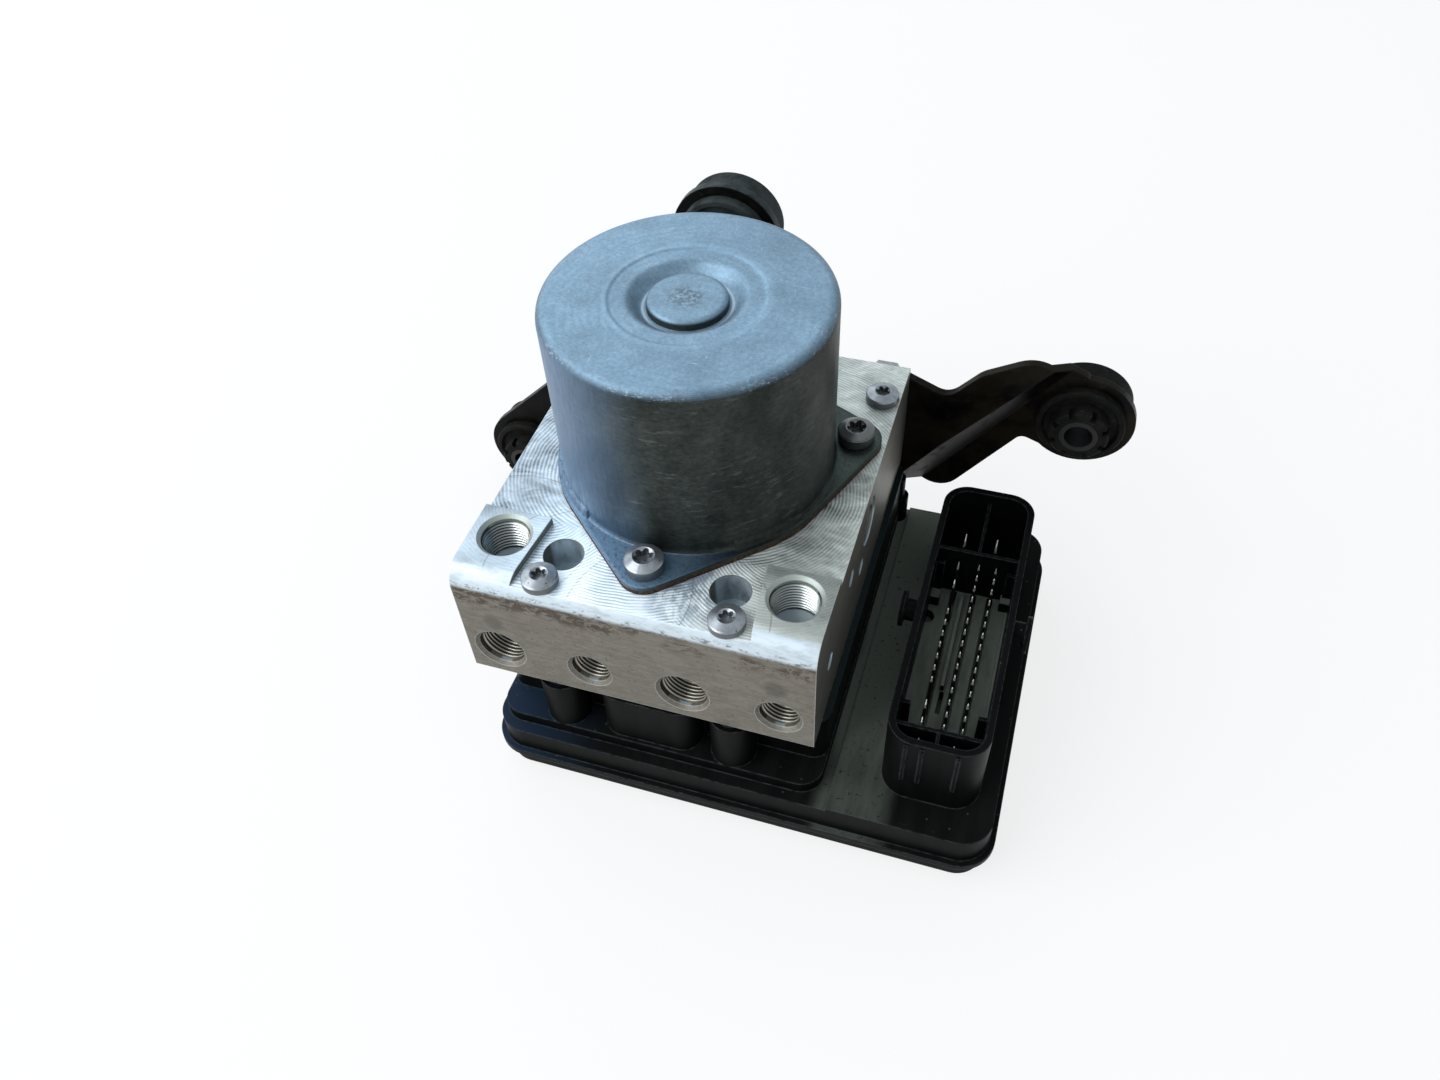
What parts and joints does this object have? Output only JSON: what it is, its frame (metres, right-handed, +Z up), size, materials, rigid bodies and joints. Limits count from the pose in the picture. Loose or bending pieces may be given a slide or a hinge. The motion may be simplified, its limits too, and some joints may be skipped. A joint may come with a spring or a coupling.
{
  "type": "abs brake module",
  "caption": "Brake pressure control unit: aluminium valve block with pipe ports, round pump motor, plastic electronics housing with plug socket, and a black bracket with rubber bushes.",
  "frame": {"origin": "on the flat underside of the electronics cover, below the motor axis", "axes": "+Z up along the motor axis, +X to the plug socket, +Y back to the bracket"},
  "size_m": [0.1975, 0.1277, 0.1235],
  "materials": {
    "block_aluminium": "milled",
    "can_zinc": "zinc plated, dull",
    "screw_zinc": "zinc plated",
    "plug_steel": "plain",
    "housing_plastic": "satin",
    "cover_plastic": "matte",
    "gasket_silicone": "matte",
    "board_laminate": "solder mask",
    "pin_tin": "tin plated",
    "coil_resin": "moulded",
    "magnet_ferrite": "sintered",
    "steel": "ground",
    "copper": "enamelled",
    "carbon": "pressed carbon",
    "spring_steel": "drawn",
    "bracket_black": "gloss black coat",
    "bush_rubber": "matte",
    "sleeve_steel": "black coat"
  },
  "bodies": {
    "module": {"valve_block": "block_aluminium", "motor_can": "can_zinc", "motor_screws": "screw_zinc", "housing_screws": "screw_zinc", "pump_plugs": "plug_steel", "ball_plugs": "plug_steel", "ecu_housing": "housing_plastic", "ecu_cover": "cover_plastic", "block_gasket": "gasket_silicone", "circuit_board": "board_laminate", "signal_pins": "pin_tin", "power_blades": "pin_tin", "solenoid_coils": "coil_resin", "valve_cartridges": "steel", "pressure_sensor": "steel", "motor_magnets": "magnet_ferrite", "bearing_outer_rings": "steel", "brush_plate": "cover_plastic", "brushes": "carbon", "motor_contact": "cover_plastic", "left_pump_spring": "spring_steel", "right_pump_spring": "spring_steel", "left_accumulator_spring": "spring_steel", "right_accumulator_spring": "spring_steel", "accumulator_caps": "plug_steel", "bracket": "bracket_black", "bracket_bolts": "screw_zinc", "left_bush": "bush_rubber", "right_bush": "bush_rubber", "top_bush": "bush_rubber", "left_sleeve": "sleeve_steel", "right_sleeve": "sleeve_steel", "top_sleeve": "sleeve_steel"},
    "rotor": {"armature_core": "steel", "armature_windings": "copper", "commutator": "copper", "motor_shaft": "steel", "bearing_inner_rings": "steel"},
    "ring": {"eccentric_ring": "steel"},
    "balls": {"bearing_balls": "steel"},
    "left_piston": {"left_pump_piston": "steel"},
    "right_piston": {"right_pump_piston": "steel"},
    "left_accumulator": {"left_accumulator_piston": "steel"},
    "right_accumulator": {"right_accumulator_piston": "steel"},
    "inlet_valve_1": {"inlet_plunger_1": "steel"},
    "inlet_valve_2": {"inlet_plunger_2": "steel"},
    "inlet_valve_3": {"inlet_plunger_3": "steel"},
    "inlet_valve_4": {"inlet_plunger_4": "steel"},
    "outlet_valve_1": {"outlet_plunger_1": "steel"},
    "outlet_valve_2": {"outlet_plunger_2": "steel"},
    "outlet_valve_3": {"outlet_plunger_3": "steel"},
    "outlet_valve_4": {"outlet_plunger_4": "steel"}
  },
  "joints": [
    {"name": "rotor_spin", "type": "hinge", "parent": "module", "child": "rotor", "pos_m": [0, 0, 0.09], "axis": [0, 0, 1], "continuous": true},
    {"name": "ring_spin", "type": "hinge", "parent": "rotor", "child": "ring", "pos_m": [0, 0.0012, 0.062], "axis": [0, 0, 1], "continuous": true},
    {"name": "ball_spin", "type": "hinge", "parent": "module", "child": "balls", "pos_m": [0, 0, 0.09], "axis": [0, 0, 1], "continuous": true},
    {"name": "left_piston_slide", "type": "slide", "parent": "module", "child": "left_piston", "axis": [1, 0, 0], "range_m": [0, 0.0015], "stiffness_N_per_m": 1500, "deforming": ["left_pump_spring"]},
    {"name": "right_piston_slide", "type": "slide", "parent": "module", "child": "right_piston", "axis": [-1, 0, 0], "range_m": [0, 0.0015], "stiffness_N_per_m": 1500, "deforming": ["right_pump_spring"]},
    {"name": "left_accumulator_slide", "type": "slide", "parent": "module", "child": "left_accumulator", "axis": [0, 0, -1], "range_m": [0, 0.004], "stiffness_N_per_m": 400, "springref_m": -0.003, "deforming": ["left_accumulator_spring"]},
    {"name": "right_accumulator_slide", "type": "slide", "parent": "module", "child": "right_accumulator", "axis": [0, 0, -1], "range_m": [0, 0.004], "stiffness_N_per_m": 400, "springref_m": -0.003, "deforming": ["right_accumulator_spring"]},
    {"name": "inlet_valve_1_slide", "type": "slide", "parent": "module", "child": "inlet_valve_1", "axis": [0, 0, 1], "range_m": [0, 0.00035], "stiffness_N_per_m": 3000, "springref_m": -0.0005},
    {"name": "inlet_valve_2_slide", "type": "slide", "parent": "module", "child": "inlet_valve_2", "axis": [0, 0, 1], "range_m": [0, 0.00035], "stiffness_N_per_m": 3000, "springref_m": -0.0005},
    {"name": "inlet_valve_3_slide", "type": "slide", "parent": "module", "child": "inlet_valve_3", "axis": [0, 0, 1], "range_m": [0, 0.00035], "stiffness_N_per_m": 3000, "springref_m": -0.0005},
    {"name": "inlet_valve_4_slide", "type": "slide", "parent": "module", "child": "inlet_valve_4", "axis": [0, 0, 1], "range_m": [0, 0.00035], "stiffness_N_per_m": 3000, "springref_m": -0.0005},
    {"name": "outlet_valve_1_slide", "type": "slide", "parent": "module", "child": "outlet_valve_1", "axis": [0, 0, -1], "range_m": [0, 0.00035], "stiffness_N_per_m": 3000, "springref_m": -0.0005},
    {"name": "outlet_valve_2_slide", "type": "slide", "parent": "module", "child": "outlet_valve_2", "axis": [0, 0, -1], "range_m": [0, 0.00035], "stiffness_N_per_m": 3000, "springref_m": -0.0005},
    {"name": "outlet_valve_3_slide", "type": "slide", "parent": "module", "child": "outlet_valve_3", "axis": [0, 0, -1], "range_m": [0, 0.00035], "stiffness_N_per_m": 3000, "springref_m": -0.0005},
    {"name": "outlet_valve_4_slide", "type": "slide", "parent": "module", "child": "outlet_valve_4", "axis": [0, 0, -1], "range_m": [0, 0.00035], "stiffness_N_per_m": 3000, "springref_m": -0.0005}
  ],
  "couplings": [
    {"joint": "ball_spin", "follows": "rotor_spin", "ratio": 0.414}
  ]
}
